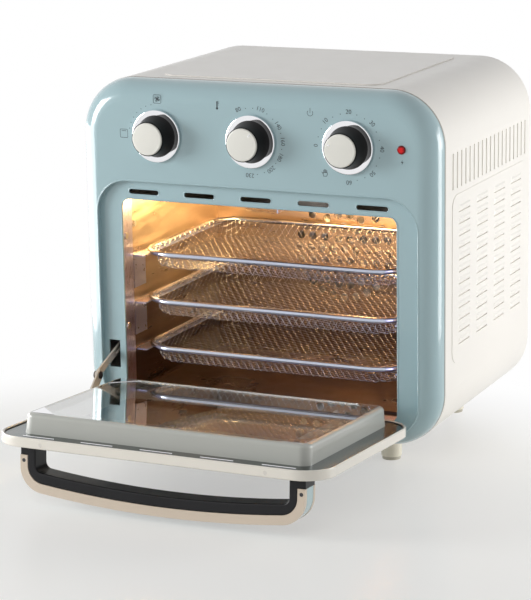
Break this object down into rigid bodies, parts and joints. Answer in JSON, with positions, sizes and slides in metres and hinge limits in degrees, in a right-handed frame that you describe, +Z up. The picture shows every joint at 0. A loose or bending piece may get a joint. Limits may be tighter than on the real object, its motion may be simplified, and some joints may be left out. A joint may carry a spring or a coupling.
{
  "type": "air fryer oven",
  "caption": "Countertop air fryer oven with a drop-down glass door, sliding wire baskets, turning knobs, a convection fan and vented sides.",
  "frame": {"origin": "on the ground under the middle of the box round the oven with its door open", "axes": "+X to the right of someone facing the front, +Y to the back, +Z up"},
  "size_m": [0.3426, 0.4572, 0.3363],
  "materials": {
    "panel_paint": "pale blue gloss enamel",
    "body_paint": "warm white satin enamel",
    "plain_sheet": "galvanised sheet",
    "cavity_steel": "bright coated steel",
    "rail_steel": "bright steel",
    "wire_steel": "polished wire",
    "heater_steel": "heat-toned tube",
    "door_paint": "cream gloss enamel",
    "liner_steel": "smooth steel",
    "frame_grey": "light grey satin",
    "clear_glass": "tempered glass",
    "black_grip": "fine satin",
    "handle_cream": "warm satin",
    "handle_blue": "pale blue gloss",
    "chrome": "bright chrome",
    "cap_cream": "cream gloss",
    "dark_steel": "dark plated",
    "control_plastic": "moulded",
    "motor_steel": "plain",
    "fan_aluminium": "stamped",
    "lens_red": "translucent red",
    "foot_cream": "cream satin",
    "pad_rubber": "soft grey"
  },
  "bodies": {
    "cabinet": {"front_panel": "panel_paint", "casing": "body_paint", "base_plate": "plain_sheet", "feet": "foot_cream", "foot_pads": "pad_rubber", "rear_cover": "body_paint", "rear_spacers": "control_plastic", "cord_gland": "control_plastic", "cavity_frame": "cavity_steel", "cavity_wall_left": "cavity_steel", "cavity_wall_right": "cavity_steel", "cavity_ceiling": "cavity_steel", "cavity_floor": "cavity_steel", "cavity_back": "cavity_steel", "cavity_screws": "dark_steel", "rails_left": "rail_steel", "rails_right": "rail_steel", "heater": "heater_steel", "heater_clip": "rail_steel", "drip_tray": "cavity_steel", "fan_chamber": "plain_sheet", "fan_motor": "motor_steel", "function_switch": "control_plastic", "thermostat": "control_plastic", "timer": "control_plastic", "indicator_lens": "lens_red", "hinge_brackets": "dark_steel"},
    "door": {"door_shell": "door_paint", "door_liner": "liner_steel", "door_frame": "frame_grey", "inner_glass": "clear_glass", "outer_glass": "clear_glass", "door_screws": "dark_steel", "hinge_leaves": "dark_steel", "hinge_pins": "dark_steel", "stay_strap": "dark_steel", "stay_pin": "dark_steel", "handle_grip": "black_grip", "handle_cover": "handle_cream", "handle_inlay": "handle_blue", "handle_screws": "dark_steel"},
    "stay": {"stay_arm": "dark_steel"},
    "upper_basket": {"upper_basket_rim": "wire_steel", "upper_basket_tray": "wire_steel"},
    "middle_basket": {"middle_basket_rim": "wire_steel", "middle_basket_tray": "wire_steel"},
    "lower_basket": {"lower_basket_rim": "wire_steel", "lower_basket_tray": "wire_steel"},
    "function_knob": {"function_knob_skirt": "chrome", "function_knob_cap": "cap_cream"},
    "temperature_knob": {"temperature_knob_skirt": "chrome", "temperature_knob_cap": "cap_cream"},
    "timer_knob": {"timer_knob_skirt": "chrome", "timer_knob_cap": "cap_cream"},
    "fan": {"convection_fan": "fan_aluminium", "fan_shaft": "motor_steel"}
  },
  "joints": [
    {"name": "door_hinge", "type": "hinge", "parent": "cabinet", "child": "door", "pos_m": [0, -0.02738, 0.0415], "axis": [-1, 0, 0], "range_deg": [0, 86]},
    {"name": "stay_pivot", "type": "hinge", "parent": "door", "child": "stay", "pos_m": [-0.1431, -0.0523, 0.07231], "axis": [1, 0, 0], "range_deg": [0, 116]},
    {"name": "upper_basket_slide", "type": "slide", "parent": "cabinet", "child": "upper_basket", "axis": [0, 1, 0], "range_m": [-0.1, 0]},
    {"name": "middle_basket_slide", "type": "slide", "parent": "cabinet", "child": "middle_basket", "axis": [0, 1, 0], "range_m": [-0.1, 0]},
    {"name": "lower_basket_slide", "type": "slide", "parent": "cabinet", "child": "lower_basket", "axis": [0, 1, 0], "range_m": [-0.1, 0]},
    {"name": "function_knob_turn", "type": "hinge", "parent": "cabinet", "child": "function_knob", "pos_m": [-0.0908, -0.02388, 0.2873], "axis": [0, 1, 0], "range_deg": [-90, 0]},
    {"name": "temperature_knob_turn", "type": "hinge", "parent": "cabinet", "child": "temperature_knob", "pos_m": [0, -0.02388, 0.2873], "axis": [0, 1, 0], "range_deg": [-63, 143]},
    {"name": "timer_knob_turn", "type": "hinge", "parent": "cabinet", "child": "timer_knob", "pos_m": [0.0908, -0.02388, 0.2873], "axis": [0, 1, 0], "range_deg": [-71, 248]},
    {"name": "convection_fan_spin", "type": "hinge", "parent": "cabinet", "child": "fan", "pos_m": [0, 0.19162, 0.15], "axis": [0, 1, 0], "continuous": true}
  ],
  "couplings": [
    {"joint": "stay_pivot", "follows": "door_hinge", "ratio": 1.3488}
  ]
}
